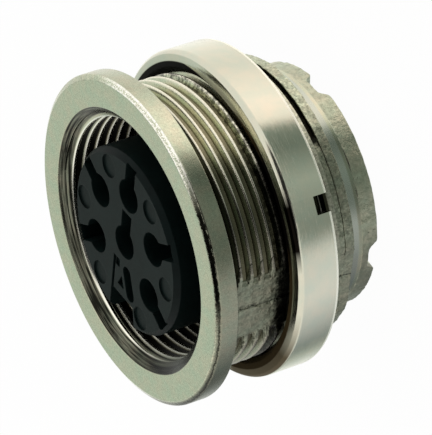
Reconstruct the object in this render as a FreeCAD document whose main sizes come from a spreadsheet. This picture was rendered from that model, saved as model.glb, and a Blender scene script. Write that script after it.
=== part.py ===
import FreeCAD, Part
import os
import re
import Sketcher

# Panel-mount circular connector receptacle with six female contacts.
# Millimetres. +Z is the way the mating plug leaves. Z = 0 is the rear rim of
# the shell, on which the receptacle stands. +Y points away from the keyway.
# Angles are counted from +Y towards +X, clockwise when looking into the mouth.

SIZES = {
    # Shell, from the mouth to the rear
    "thread_radius": 9.0,
    "thread_length": 8.45,
    "flange_overhang": 1.38,
    "flange_thickness": 1.4,
    "flange_bevel_width": 0.45,
    "flange_bevel_height": 0.28,
    "flat_depth": 0.45,
    "collar_step": 0.15,
    "collar_length": 0.65,
    "skirt_step": 1.3,
    "skirt_wall": 0.7,
    "skirt_length": 2.4,
    "mouth_wall": 0.58,
    "mouth_lead_in": 0.6,
    "socket_wall": 1.4,
    "socket_depth": 8.0,
    "lip_width": 1.4,
    "lip_thickness": 0.8,
    "notch_depth": 0.55,
    "notch_floor_width": 1.2,
    "notch_mouth_width": 2.3,
    # Ring nut
    "nut_wall": 1.35,
    "nut_thickness": 2.85,
    "nut_stand_off": 4.15,
    "nut_running_clearance": 0.05,
    "nut_bevel_width": 0.6,
    "nut_bevel_height": 0.33,
    "nut_countersink": 0.3,
    "nut_edge_break": 0.12,
    "nut_slot_width": 1.14,
    "nut_slot_depth": 0.95,
    "nut_turn": 37.0,
    # Front insert
    "pillar_clearance": 0.25,
    "pillar_stand_proud": 0.2,
    "pillar_bevel_width": 0.3,
    "pillar_bevel_height": 0.35,
    "base_thickness": 1.0,
    "insert_clearance": 0.05,
    "contact_circle_share": 0.6,
    "contact_angle": 60.0,
    "entry_radius": 1.08,
    "entry_depth": 2.2,
    "entry_slot_width": 1.07,
    "entry_slot_wall": 0.23,
    "centre_slot_reach": 2.24,
    "mould_mark_radius": 0.76,
    "mould_mark_inset": 1.15,
    "mould_mark_depth": 0.12,
    "key_left": 1.05,
    "key_right": 1.47,
    "key_flare": 0.45,
    "key_reach": 1.9,
    "key_depth": 6.0,
    # Coding finger beside the keyway
    "finger_share": 0.825,
    "slit_width": 0.26,
    "slit_depth": 3.0,
    "finger_slot_radius": 0.44,
    "finger_slot_inset": 0.94,
    "finger_slot_lean": 0.56,
    "finger_slot_end": 0.68,
    "window_left": 0.39,
    "window_right": 0.34,
    "window_base": 0.6,
    "window_height": 0.85,
    "window_depth": 0.8,
    "dimple_left": 0.76,
    "dimple_width": 0.44,
    "dimple_length": 0.6,
    "dimple_depth": 0.15,
    # Rear contact holder and its retaining ring
    "holder_flange_thickness": 0.8,
    "holder_step": 1.0,
    "holder_wall": 0.8,
    "holder_inset": 0.2,
    "well_floor_thickness": 1.2,
    "ring_groove_depth": 0.3,
    "ring_groove_width": 0.6,
    "ring_thickness": 0.5,
    "ring_width": 0.95,
    "ring_gap_angle": 36.0,
    "ring_turn": 45.0,
    # Contacts
    "barrel_radius": 0.85,
    "contact_clearance": 0.05,
    "contact_setback": 0.05,
    "pin_bore_radius": 0.53,
    "pin_bore_depth": 5.0,
    "pin_bore_lead_in": 0.15,
    "tine_slot_width": 0.25,
    "tine_slot_length": 3.6,
    "shoulder_spacing": 0.87,
    "shoulder_thickness": 0.5,
    "tail_radius": 0.8,
    "cup_inset": 0.35,
    "cup_bore_radius": 0.55,
    "cup_bore_depth": 1.5,
    "cup_cut_length": 1.2,
    "cup_cut_offset": 0.15,
    "cutter_margin": 1.0,
}

# Radii and places that follow from the sizes, each from names above it
FOLLOWING = {
    "flange_radius": "thread_radius + flange_overhang",
    "flat_distance": "thread_radius - flat_depth",
    "collar_radius": "thread_radius - collar_step",
    "skirt_radius": "thread_radius - skirt_step",
    "skirt_bore": "skirt_radius - skirt_wall",
    "mouth_radius": "thread_radius - mouth_wall",
    "socket_radius": "thread_radius - socket_wall",
    "lip_opening": "socket_radius - lip_width",
    "nut_radius": "thread_radius + nut_wall",
    "pillar_radius": "lip_opening - pillar_clearance",
    "contact_circle": "pillar_radius * contact_circle_share",
    "entry_slot_reach": "pillar_radius - entry_slot_wall",
    "mould_mark_circle": "pillar_radius - mould_mark_inset",
    "key_floor": "pillar_radius - key_reach",
    "slit_reach": "key_floor - (key_floor - entry_radius) * finger_share",
    "holder_radius": "skirt_bore - holder_step",
    "well_radius": "holder_radius - holder_wall",
    "shoulder_radius": "(contact_circle - shoulder_spacing) / 2",
}

# Heights above the rear rim, worked out from the sizes
COLLAR_FRONT = "(skirt_length + collar_length)"
FLANGE_REAR = "(skirt_length + collar_length + thread_length)"
FRONT = "(skirt_length + collar_length + thread_length + flange_thickness)"
LIP_FRONT = f"({FRONT} - socket_depth)"
LIP_REAR = f"({LIP_FRONT} - lip_thickness)"
BASE_REAR = f"({LIP_REAR} - base_thickness)"
HOLDER_FLANGE_REAR = f"({BASE_REAR} - holder_flange_thickness)"
PILLAR_TOP = f"({FRONT} + pillar_stand_proud)"
BASE_RADIUS = "(skirt_bore - insert_clearance)"
CONTACT_BORE = "(barrel_radius + contact_clearance)"
SHOULDER_POCKET = "(shoulder_radius + contact_clearance)"

# Places on the contact circle, in steps of contact_angle; the keyway takes step 3
OUTER_STEPS = (0, 1, 2, 4, 5)
MOULD_MARK_COUNT = 6

doc = FreeCAD.newDocument("receptacle")
sheet = doc.addObject("Spreadsheet::Sheet", "Sizes")
for row, (alias, content) in enumerate({**SIZES, **FOLLOWING}.items(), start=1):
    sheet.set(f"A{row}", alias)
    sheet.set(f"B{row}", f"={content}")
    sheet.setAlias(f"B{row}", alias)
doc.recompute()


def formula(text):
    """Point the size names in a formula at the sheet's cells."""
    names = {**SIZES, **FOLLOWING}
    return re.sub(r"[a-z_]+", lambda word: "Sizes." + word[0] if word[0] in names else word[0], text)


def new_body(name):
    body = doc.addObject("PartDesign::Body", name)
    body.Label = name
    return body


def new_sketch(body, name, plane="XY_Plane", height="0"):
    """A sketch on one of the body's own origin planes, lifted by a formula."""
    sketch = body.newObject("Sketcher::SketchObject", name)
    support = [item for item in body.Origin.OriginFeatures if item.Role == plane]
    sketch.AttachmentSupport = [(support[0], "")]
    sketch.MapMode = "FlatFace"
    if height != "0":
        sketch.setExpression("AttachmentOffset.Base.z", formula(height))
    return sketch


def pin_point(sketch, geometry, position, place):
    """Hold one point of a sketch at a place given by two formulas."""
    for axis, constraint, text in ((-2, "DistanceX", place[0]), (-1, "DistanceY", place[1])):
        if text == "0":
            sketch.addConstraint(Sketcher.Constraint("PointOnObject", geometry, position, axis))
            continue
        value = float(sketch.evalExpression(formula(text)))
        index = sketch.addConstraint(
            Sketcher.Constraint(constraint, -1, 1, geometry, position, value))
        sketch.setExpression(f"Constraints[{index}]", formula(text))


def point_at(sketch, place):
    x, y = (float(sketch.evalExpression(formula(text))) for text in place)
    return FreeCAD.Vector(x, y, 0)


def add_outline(sketch, corners):
    """A closed polygon whose corners are pairs of formulas."""
    first = sketch.GeometryCount
    points = [point_at(sketch, corner) for corner in corners]
    count = len(points)
    for i in range(count):
        sketch.addGeometry(Part.LineSegment(points[i], points[(i + 1) % count]))
    for i in range(count):
        sketch.addConstraint(
            Sketcher.Constraint("Coincident", first + i, 2, first + (i + 1) % count, 1))
        pin_point(sketch, first + i, 1, corners[i])


def add_circle(sketch, centre, radius):
    index = sketch.addGeometry(
        Part.Circle(point_at(sketch, centre), FreeCAD.Vector(0, 0, 1),
                    float(sketch.evalExpression(formula(radius)))))
    pin_point(sketch, index, 3, centre)
    value = float(sketch.evalExpression(formula(radius)))
    constraint = sketch.addConstraint(Sketcher.Constraint("Radius", index, value))
    sketch.setExpression(f"Constraints[{constraint}]", formula(radius))


def revolve(body, name, corners, angle=None):
    """Turn a profile of (radius, height) pairs about the body's Z axis."""
    sketch = new_sketch(body, name + "_profile", "XZ_Plane")
    add_outline(sketch, corners)
    turned = body.newObject("PartDesign::Revolution", name)
    turned.Profile = sketch
    turned.ReferenceAxis = (sketch, ["V_Axis"])
    if angle:
        turned.setExpression("Angle", formula(angle))
    doc.recompute()
    return turned


def cut(body, name, sketch, depth, upward=False, both_ways=False):
    """Cut a sketch into the body, downward unless told otherwise."""
    before = body.Shape.Volume
    pocket = body.newObject("PartDesign::Pocket", name)
    pocket.Profile = sketch
    pocket.Reversed = upward
    if both_ways:
        pocket.SideType = "Symmetric"
    pocket.setExpression("Length", formula(depth))
    doc.recompute()
    if body.Shape.Volume >= before:
        raise RuntimeError(name + " cuts nothing")
    return pocket


def on_circle(radius, angle, sideways="0"):
    """A place at a radius and angle, shifted sideways along the circle."""
    return (f"{radius} * sin({angle}) + {sideways} * cos({angle})",
            f"{radius} * cos({angle}) - {sideways} * sin({angle})")


def add_radial_slot(sketch, inner, outer, width, angle):
    add_outline(sketch, [
        on_circle(inner, angle, f"-{width} / 2"),
        on_circle(outer, angle, f"-{width} / 2"),
        on_circle(outer, angle, f"{width} / 2"),
        on_circle(inner, angle, f"{width} / 2"),
    ])


def make_shell():
    """Die-cast shell: flange, threaded barrel with two flats, collar and skirt."""
    body = new_body("shell")
    groove_radius = "skirt_bore + ring_groove_depth"
    revolve(body, "shell_form", [
        ("skirt_bore", "0"),
        ("skirt_radius", "0"),
        ("skirt_radius", "skirt_length"),
        ("collar_radius", "skirt_length"),
        ("collar_radius", COLLAR_FRONT),
        ("thread_radius", COLLAR_FRONT),
        ("thread_radius", FLANGE_REAR),
        ("flange_radius", FLANGE_REAR),
        ("flange_radius", f"{FRONT} - flange_bevel_height"),
        ("flange_radius - flange_bevel_width", FRONT),
        ("mouth_radius", FRONT),
        ("socket_radius", f"{FRONT} - mouth_lead_in"),
        ("socket_radius", LIP_FRONT),
        ("lip_opening", LIP_FRONT),
        ("lip_opening", LIP_REAR),
        ("skirt_bore", LIP_REAR),
        ("skirt_bore", HOLDER_FLANGE_REAR),
        (groove_radius, HOLDER_FLANGE_REAR),
        (groove_radius, f"{HOLDER_FLANGE_REAR} - ring_groove_width"),
        ("skirt_bore", f"{HOLDER_FLANGE_REAR} - ring_groove_width"),
    ])
    flats = new_sketch(body, "flat_outlines", height=FLANGE_REAR)
    for side in ("", "-"):
        add_outline(flats, [
            (f"{side}flat_distance", "-flange_radius"),
            (f"{side}flange_radius", "-flange_radius"),
            (f"{side}flange_radius", "flange_radius"),
            (f"{side}flat_distance", "flange_radius"),
        ])
    cut(body, "flats", flats, "thread_length + collar_length")
    for plane in ("XZ_Plane", "YZ_Plane"):
        notch = new_sketch(body, "notch_outline_" + plane[:2].lower(), plane)
        add_outline(notch, [
            ("-notch_mouth_width / 2", "0"),
            ("notch_mouth_width / 2", "0"),
            ("notch_floor_width / 2", "notch_depth"),
            ("-notch_floor_width / 2", "notch_depth"),
        ])
        cut(body, "notches_" + plane[:2].lower(), notch, "2 * flange_radius", both_ways=True)
    return body


def make_ring_nut():
    """Slotted ring nut that clamps the panel from behind."""
    body = new_body("ring_nut")
    bore = "thread_radius + nut_running_clearance"
    revolve(body, "nut_form", [
        (f"{bore} + nut_countersink", "0"),
        ("nut_radius - nut_edge_break", "0"),
        ("nut_radius", "nut_edge_break"),
        ("nut_radius", "nut_thickness - nut_bevel_height"),
        ("nut_radius - nut_bevel_width", "nut_thickness"),
        (f"{bore} + nut_countersink", "nut_thickness"),
        (bore, "nut_thickness - nut_countersink"),
        (bore, "nut_countersink"),
    ])
    slots = new_sketch(body, "slot_outline")
    add_outline(slots, [
        ("-nut_radius", "-nut_slot_width / 2"),
        ("nut_radius", "-nut_slot_width / 2"),
        ("nut_radius", "nut_slot_width / 2"),
        ("-nut_radius", "nut_slot_width / 2"),
    ])
    cut(body, "spanner_slots", slots, "nut_slot_depth", upward=True)
    body.setExpression("Placement.Base.z", formula(f"{FLANGE_REAR} - nut_stand_off - nut_thickness"))
    body.setExpression("Placement.Rotation.Angle", formula("nut_turn"))
    return body


def make_insert():
    """Moulded front insert: contact pillar, base flange, entries and keyway."""
    body = new_body("insert")
    revolve(body, "insert_form", [
        ("0", BASE_REAR),
        (BASE_RADIUS, BASE_REAR),
        (BASE_RADIUS, LIP_REAR),
        ("pillar_radius", LIP_REAR),
        ("pillar_radius", f"{PILLAR_TOP} - pillar_bevel_height"),
        ("pillar_radius - pillar_bevel_width", PILLAR_TOP),
        ("0", PILLAR_TOP),
    ])
    centre = ("0", "0")
    places = [on_circle("contact_circle", f"{step} * contact_angle") for step in OUTER_STEPS]

    entries = new_sketch(body, "entry_circles", height=PILLAR_TOP)
    for place in [centre] + places:
        add_circle(entries, place, "entry_radius")
    cut(body, "entries", entries, "entry_depth")

    slots = new_sketch(body, "entry_slot_outlines", height=PILLAR_TOP)
    add_radial_slot(slots, "0", "centre_slot_reach", "entry_slot_width", "0")
    for step in OUTER_STEPS:
        add_radial_slot(slots, "contact_circle", "entry_slot_reach", "entry_slot_width",
                        f"{step} * contact_angle")
    cut(body, "entry_slots", slots, "entry_depth")

    bores = new_sketch(body, "contact_bore_circles", height=PILLAR_TOP)
    pockets = new_sketch(body, "shoulder_pocket_circles", height=BASE_REAR)
    for place in [centre] + places:
        add_circle(bores, place, CONTACT_BORE)
        add_circle(pockets, place, SHOULDER_POCKET)
    cut(body, "contact_bores", bores, f"{PILLAR_TOP} - {BASE_REAR}")
    cut(body, "shoulder_pockets", pockets, "shoulder_thickness", upward=True)

    marks = new_sketch(body, "mould_mark_circles", height=PILLAR_TOP)
    for mark in range(MOULD_MARK_COUNT):
        turn = f"({mark} + 1 / 2) * contact_angle"
        add_circle(marks, on_circle("mould_mark_circle", turn), "mould_mark_radius")
    cut(body, "mould_marks", marks, "mould_mark_depth")

    keyway = new_sketch(body, "keyway_outline", height=PILLAR_TOP)
    add_outline(keyway, [
        ("-key_left", "-key_floor"),
        ("key_right", "-key_floor"),
        ("key_right + key_flare", "-pillar_radius"),
        ("key_right + key_flare", "-skirt_bore"),
        ("-key_left", "-skirt_bore"),
    ])
    cut(body, "keyway", keyway, "key_depth")
    cut_coding_finger(body)
    return body


def cut_coding_finger(body):
    """Slit, slot, window and dimple that leave a finger beside the keyway."""
    slit = new_sketch(body, "slit_outline", height=PILLAR_TOP)
    add_outline(slit, [
        ("-key_left", "-slit_reach"),
        ("-key_left + slit_width", "-slit_reach"),
        ("-key_left + slit_width", "-key_floor - slit_width"),
        ("-key_left", "-key_floor - slit_width"),
    ])
    cut(body, "slit", slit, "slit_depth")

    # The slot beside the finger leans away from it and has round ends
    slot = new_sketch(body, "finger_slot_outline", height=PILLAR_TOP)
    inner_x = "key_right - finger_slot_inset"
    inner = point_at(slot, (inner_x, "-slit_reach - finger_slot_radius"))
    outer = point_at(slot, (f"{inner_x} + finger_slot_lean", "-key_floor + finger_slot_end"))
    radius = float(slot.evalExpression(formula("finger_slot_radius")))
    along = (outer - inner).normalize()
    across = FreeCAD.Vector(-along.y, along.x, 0) * radius
    slot.addGeometry([
        Part.LineSegment(inner + across, outer + across),
        Part.Arc(outer + across, outer + along * radius, outer - across),
        Part.LineSegment(outer - across, inner - across),
        Part.Arc(inner - across, inner - along * radius, inner + across),
    ])
    cut(body, "finger_slot", slot, "slit_depth")

    window = new_sketch(body, "finger_window_outline", height=PILLAR_TOP)
    add_outline(window, [
        ("-window_left", "-key_floor + window_base"),
        ("0", "-key_floor + window_base + window_height"),
        ("window_right", "-key_floor + window_base"),
    ])
    cut(body, "finger_window", window, "window_depth")

    dimple = new_sketch(body, "finger_dimple_outline", height=PILLAR_TOP)
    add_outline(dimple, [
        ("-dimple_left", "-slit_reach"),
        ("-dimple_left + dimple_width", "-slit_reach"),
        ("-dimple_left + dimple_width", "-slit_reach - dimple_length"),
        ("-dimple_left", "-slit_reach - dimple_length"),
    ])
    cut(body, "finger_dimple", dimple, "dimple_depth")


def make_contact_holder():
    """Rear moulding that traps the contact shoulders and walls the solder cups."""
    body = new_body("contact_holder")
    well_floor = f"{BASE_REAR} - well_floor_thickness"
    revolve(body, "holder_form", [
        ("0", well_floor),
        ("well_radius", well_floor),
        ("well_radius", "holder_inset"),
        ("holder_radius", "holder_inset"),
        ("holder_radius", HOLDER_FLANGE_REAR),
        (BASE_RADIUS, HOLDER_FLANGE_REAR),
        (BASE_RADIUS, BASE_REAR),
        ("0", BASE_REAR),
    ])
    holes = new_sketch(body, "tail_hole_circles", height=BASE_REAR)
    places = [on_circle("contact_circle", f"{step} * contact_angle") for step in OUTER_STEPS]
    for place in [("0", "0")] + places:
        add_circle(holes, place, "tail_radius + contact_clearance")
    cut(body, "tail_holes", holes, "well_floor_thickness")
    return body


def make_retaining_ring():
    """Open spring ring in the skirt's groove, behind the holder's flange."""
    body = new_body("retaining_ring")
    outside = "skirt_bore + ring_groove_depth - insert_clearance"
    revolve(body, "ring_form", [
        (f"{outside} - ring_width", "0"),
        (outside, "0"),
        (outside, "ring_thickness"),
        (f"{outside} - ring_width", "ring_thickness"),
    ], angle="360 - ring_gap_angle")
    body.setExpression("Placement.Base.z", formula(f"{HOLDER_FLANGE_REAR} - ring_thickness"))
    body.setExpression("Placement.Rotation.Angle", formula("ring_gap_angle / 2 + ring_turn"))
    return body


def make_contact(number, circle, angle):
    """Turned female contact: split barrel, shoulder and solder cup."""
    body = new_body(f"contact_{number}")
    tail_end = "cup_inset"
    shoulder_front = f"({BASE_REAR} + shoulder_thickness)"
    barrel_end = f"({PILLAR_TOP} - entry_depth - contact_setback)"
    revolve(body, f"contact_form_{number}", [
        ("cup_bore_radius", tail_end),
        ("tail_radius", tail_end),
        ("tail_radius", BASE_REAR),
        ("shoulder_radius", BASE_REAR),
        ("shoulder_radius", shoulder_front),
        ("barrel_radius", shoulder_front),
        ("barrel_radius", barrel_end),
        ("pin_bore_radius + pin_bore_lead_in", barrel_end),
        ("pin_bore_radius", f"{barrel_end} - pin_bore_lead_in"),
        ("pin_bore_radius", f"{barrel_end} - pin_bore_depth"),
        ("0", f"{barrel_end} - pin_bore_depth"),
        ("0", f"{tail_end} + cup_bore_depth"),
        ("cup_bore_radius", f"{tail_end} + cup_bore_depth"),
    ])
    tines = new_sketch(body, f"tine_slot_outline_{number}", height=barrel_end)
    add_outline(tines, [
        ("-tine_slot_width / 2", "-barrel_radius - cutter_margin"),
        ("tine_slot_width / 2", "-barrel_radius - cutter_margin"),
        ("tine_slot_width / 2", "barrel_radius + cutter_margin"),
        ("-tine_slot_width / 2", "barrel_radius + cutter_margin"),
    ])
    cut(body, f"tine_slot_{number}", tines, "tine_slot_length")
    cup = new_sketch(body, f"cup_cut_outline_{number}", height=tail_end)
    add_outline(cup, [
        ("-tail_radius - cutter_margin", "cup_cut_offset"),
        ("tail_radius + cutter_margin", "cup_cut_offset"),
        ("tail_radius + cutter_margin", "tail_radius + cutter_margin"),
        ("-tail_radius - cutter_margin", "tail_radius + cutter_margin"),
    ])
    cut(body, f"cup_cut_{number}", cup, "cup_cut_length", upward=True)
    body.setExpression("Placement.Base.x", formula(f"{circle} * sin({angle})"))
    body.setExpression("Placement.Base.y", formula(f"{circle} * cos({angle})"))
    body.setExpression("Placement.Rotation.Angle", formula(f"-1 * ({angle})"))
    return body


bodies = [make_shell(), make_ring_nut(), make_insert(), make_contact_holder(), make_retaining_ring()]
for number, step in enumerate(OUTER_STEPS, start=1):
    bodies.append(make_contact(number, "contact_circle", f"{step} * contact_angle"))
bodies.append(make_contact(len(OUTER_STEPS) + 1, "0", "0"))
doc.recompute()

for item in doc.Objects:
    if "Invalid" in item.State or "Error" in item.State:
        raise RuntimeError(f"{item.Name} failed: {item.State}")
for body in bodies:
    if body.Shape.isNull() or not body.Shape.isValid() or len(body.Shape.Solids) != 1:
        raise RuntimeError(body.Label + " is not one sound solid")

os.makedirs("parts", exist_ok=True)
for body in bodies:
    body.Shape.exportStep(f"parts/{body.Label}.step")
    print(body.Label, round(body.Shape.Volume, 3), body.Shape.BoundBox)
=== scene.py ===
import math
from types import SimpleNamespace

import bmesh
import bpy
from mathutils import Matrix, Vector, noise


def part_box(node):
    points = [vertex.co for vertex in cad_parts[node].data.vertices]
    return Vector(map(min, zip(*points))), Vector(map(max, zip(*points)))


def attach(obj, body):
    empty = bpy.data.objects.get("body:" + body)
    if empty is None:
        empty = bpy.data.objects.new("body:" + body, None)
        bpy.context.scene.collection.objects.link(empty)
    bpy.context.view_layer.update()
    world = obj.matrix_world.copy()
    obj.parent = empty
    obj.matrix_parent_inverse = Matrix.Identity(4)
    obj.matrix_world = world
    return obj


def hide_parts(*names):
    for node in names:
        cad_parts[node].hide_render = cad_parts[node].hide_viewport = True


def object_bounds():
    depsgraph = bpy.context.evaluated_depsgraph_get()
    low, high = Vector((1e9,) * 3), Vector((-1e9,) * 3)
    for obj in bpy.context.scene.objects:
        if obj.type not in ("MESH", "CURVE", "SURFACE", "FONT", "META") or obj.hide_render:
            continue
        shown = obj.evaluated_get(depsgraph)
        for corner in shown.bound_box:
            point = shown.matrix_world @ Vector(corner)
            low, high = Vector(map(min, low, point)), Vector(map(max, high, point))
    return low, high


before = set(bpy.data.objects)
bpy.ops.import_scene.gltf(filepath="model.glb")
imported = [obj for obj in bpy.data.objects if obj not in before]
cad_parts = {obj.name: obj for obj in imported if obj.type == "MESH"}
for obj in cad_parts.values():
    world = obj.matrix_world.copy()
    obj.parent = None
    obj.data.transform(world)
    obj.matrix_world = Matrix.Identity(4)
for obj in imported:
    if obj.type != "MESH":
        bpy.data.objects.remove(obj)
cad_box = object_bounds()

# Lengths are in millimetres and become metres at MM. Turns are in degrees from +Y
# towards +X, clockwise when looking into the mouth, as in the part's own source.
MM = 0.001
PITCH = 0.75

# Widths of soft edges and margins between the regions of a surface
HAIR = 0.02
FINE = 0.03
THIN = 0.04
SOFT = 0.05
SLIM = 0.06
WIDE = 0.1
BROAD = 0.2
LOOSE = 0.3

# Heights of the shell above its rear rim
BORE_EDGE = 0.3
NOTCH_REACH = 1.1
RING_GROOVE_REAR = 1.7
RING_GROOVE_FRONT = 2.3
SKIRT_TOP = 2.4
COLLAR_FRONT = 3.05
RELIEF_FRONT = 3.5
THREAD_END = 4.1
LIP_REAR = 4.1
SOCKET_FLOOR = 4.9
SOCKET_THREAD_END = 6.4
FLANGE_REAR = 11.5
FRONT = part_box("shell")[1][2] / MM

# Radii of the shell
LIP_OPENING = 6.2
SKIRT_BORE = 7.0
RING_GROOVE_RADIUS = 7.3
SKIRT_RADIUS = 7.7
SOCKET_CREST = 7.6
SOCKET_ROOT = 8.0
MOUTH_RADIUS = 8.42
FLAT_DISTANCE = 8.55
THREAD_ROOT = 8.62
COLLAR_RADIUS = 8.85
LAND_RADIUS = 8.95
THREAD_CREST = 9.02
COLLAR_ROUNDING = 0.12
BEVEL_INNER = 10.03
FLANGE_RADIUS = 10.38

# Flange bevel and the mouth's lead-in cone
BEVEL_HEIGHT = 0.22
LEAD_IN_DEPTH = 0.6
LEAD_IN_EDGE = 0.05
LEAD_IN_SLOPE = (MOUTH_RADIUS - SOCKET_CREST) / LEAD_IN_DEPTH

# Turns of the flats and notches, and how far to each side the columns stand closer
FLAT_TURNS = (90, 270)
FLAT_WINDOW = 23
NOTCH_TURNS = (0, 90, 180, 270)
NOTCH_WINDOW = 11
CLOSE_STEP = 0.6
WIDE_STEP = 1.5
LAST_GAP = 0.1
TURN_MARGIN = 0.01

# Skirt notches: depth, and half widths at the floor and at the mouth
NOTCH_DEPTH = 0.55
NOTCH_FLOOR = 0.6
NOTCH_MOUTH = 1.15

# Turns over which the thread fades in beside a flat
GROOVE_END = 7.5
GROOVE_FADE = 8.5

# Turns at which the relief groove behind the thread starts and ends, and its fade
RELIEF_START = -150
RELIEF_END = 37
RELIEF_FADE = 12

# One pitch of each thread: share of the pitch, and height from root (0) to crest (1)
OUTER_FORM = ((0, 0.97), (0.06, 1), (0.14, 0.97), (0.22, 0.82), (0.3, 0.5), (0.38, 0.15), (0.43, 0.02),
              (0.5, 0), (0.78, 0), (0.83, 0.1), (0.95, 0.85))
INNER_FORM = ((0, 0.93), (0.02, 1), (0.22, 1), (0.24, 0.93), (0.5, 0.05), (0.56, 0), (0.7, 0.05))
OUTER_PHASE = 0.45
INNER_PHASE = 12.27 / PITCH
OUTER_GAP = 0.04
OUTER_RUN_IN = 0.35
OUTER_RUN_OUT = 0.2
INNER_RUN_IN = 0.5

# Unevenness of the cast skin: how fine it is, and how high
FLAT_SKIN = (1.6, 0.035)
SKIRT_SKIN = (2.2, 0.04)
COLLAR_SKIN = (2.0, 0.05)
SEAM_SKIN = (3.0, 0.15)
SKIN_FALL = 0.8
SKIN_SPACING = 2.0
SKIN_LAYERS = 3
SKIN_MEAN = 0.1

# Parting line across the flats: its place, depth and half width, and how it waves
PARTING = 0.15
SEAM_DEPTH = 0.09
SEAM_WIDTH = 0.07
SEAM_WAVE = 0.12
SEAM_BENDS = 2.1

# Ring nut
NUT_RADIUS = 10.35
NUT_BORE = 9.05
NUT_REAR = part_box("ring_nut")[0][2] / MM
NUT_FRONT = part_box("ring_nut")[1][2] / MM
NUT_COUNTERSINK = 0.3
NUT_BEVEL_HEIGHT = 0.33
NUT_BEVEL_WIDTH = 0.6
NUT_SHOULDER_WIDTH = 0.22
NUT_SHOULDER_HEIGHT = 0.11
NUT_BORE_MIDDLE = 1.6
NUT_TURN = 53
NUT_STEP = 1
SLOT_TURN = 180
SLOT_MARGIN = 4
SLOT_DEPTH = 0.95
SLOT_HALF = 0.57
SLOT_WALL = 0.003


# Turned surfaces

def place(radius, height, station):
    """A point on a station, which is a turn and a shift sideways along the circle."""
    turn, sideways = math.radians(station[0]), station[1]
    forward = math.sqrt(radius * radius - sideways * sideways)
    return Vector((
        forward * math.sin(turn) + sideways * math.cos(turn),
        forward * math.cos(turn) - sideways * math.sin(turn),
        height,
    ))


def turn_gap(a, b):
    """How far apart two turns are, from 0 to 180."""
    return abs((a - b + 180) % 360 - 180)


def smooth(value, low, high):
    """0 below low, 1 above high, and an even rise between."""
    share = min(max((value - low) / (high - low), 0), 1)
    return share * share * (3 - 2 * share)


def rounded(corners, steps=3):
    """A profile whose corners (radius, height, rounding) become short arcs."""
    points = []
    for i, (radius, height, rounding) in enumerate(corners):
        corner = Vector((radius, height))
        if rounding == 0 or i in (0, len(corners) - 1):
            points.append(tuple(corner))
            continue
        before = (Vector(corners[i - 1][:2]) - corner).normalized() * rounding
        after = (Vector(corners[i + 1][:2]) - corner).normalized() * rounding
        for step in range(steps + 1):
            t = step / steps
            points.append(tuple(corner + before * (1 - t) ** 2 + after * t ** 2))
    return points


def lathe(name, stations, rows_at, shape=None):
    """A closed surface with a row of vertices per profile point and a column per station.

    The last station is the first one a full turn on, and welding closes the surface there.
    """
    vertices = []
    for station in stations:
        for radius, height in rows_at(station):
            point = place(radius, height, station)
            vertices.append((shape(point, radius) if shape else point) * MM)
    rows = len(vertices) // len(stations)
    faces = []
    for column in range(0, len(vertices) - rows, rows):
        for j in range(rows):
            up = (j + 1) % rows
            faces.append((column + j, column + rows + j, column + rows + up, column + up))
    mesh = bpy.data.meshes.new(name)
    mesh.from_pydata(vertices, [], faces)
    finish_mesh(mesh)
    return put_in_scene(name, mesh)


WELD_DISTANCE = 0.0004
SLIVER_LENGTH = 0.0002
SHARP_ANGLE = 38


def finish_mesh(mesh):
    """Weld coincident points, face everything outwards and shade smooth between sharp edges."""
    work = bmesh.new()
    work.from_mesh(mesh)
    bmesh.ops.remove_doubles(work, verts=work.verts, dist=WELD_DISTANCE * MM)
    bmesh.ops.dissolve_degenerate(work, edges=work.edges, dist=SLIVER_LENGTH * MM)
    bmesh.ops.recalc_face_normals(work, faces=work.faces)
    work.to_mesh(mesh)
    work.free()
    mesh.polygons.foreach_set("use_smooth", [True] * len(mesh.polygons))
    mesh.set_sharp_from_angle(angle=math.radians(SHARP_ANGLE))


def put_in_scene(name, data):
    piece = bpy.data.objects.new(name, data)
    bpy.context.collection.objects.link(piece)
    return piece


# Shell

def shell_stations():
    """Columns of the shell, closer together at the flats and notches."""
    stops = []
    turn = -180.0
    while turn < 180 - LAST_GAP:
        stops.append((turn, 0))
        near_flat = any(turn_gap(turn + TURN_MARGIN, flat) < FLAT_WINDOW for flat in FLAT_TURNS)
        near_notch = any(turn_gap(turn + TURN_MARGIN, notch) < NOTCH_WINDOW for notch in NOTCH_TURNS)
        turn += CLOSE_STEP if near_flat or near_notch else WIDE_STEP
    return stops + [(180.0, 0)]


def thread_rows(form, low, high, phase, turn):
    """(share from root to crest, height, inside the stretch) for each row, upwards.

    The rows follow a right-handed helix, so the crests stay crisp. Rows that leave the
    threaded stretch gather at its end.
    """
    first = math.floor(low / PITCH - phase) - 1
    last = math.ceil(high / PITCH - phase) + 1
    rows = []
    for lap in range(first, last + 1):
        for share, crest in form:
            height = (lap + share + phase - turn / 360) * PITCH
            inside = low < height < high
            rows.append((crest, min(max(height, low), high), inside))
    return rows


def outer_thread(turn):
    """The barrel's thread, which fades out at its ends and towards the flats."""
    low, high = THREAD_END, FLANGE_REAR - OUTER_GAP
    away = min(turn_gap(turn, flat) for flat in FLAT_TURNS)
    filled = 1 - smooth(away, GROOVE_END, GROOVE_END + GROOVE_FADE)
    rows = []
    for crest, height, inside in thread_rows(OUTER_FORM, low, high, OUTER_PHASE, turn + 180):
        fade = smooth(height, low, low + OUTER_RUN_IN) * (1 - smooth(height, high - OUTER_RUN_OUT, high))
        share = max(crest * fade if inside else 0, filled)
        rows.append((THREAD_ROOT + (THREAD_CREST - THREAD_ROOT) * share, height))
    return rows


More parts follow.
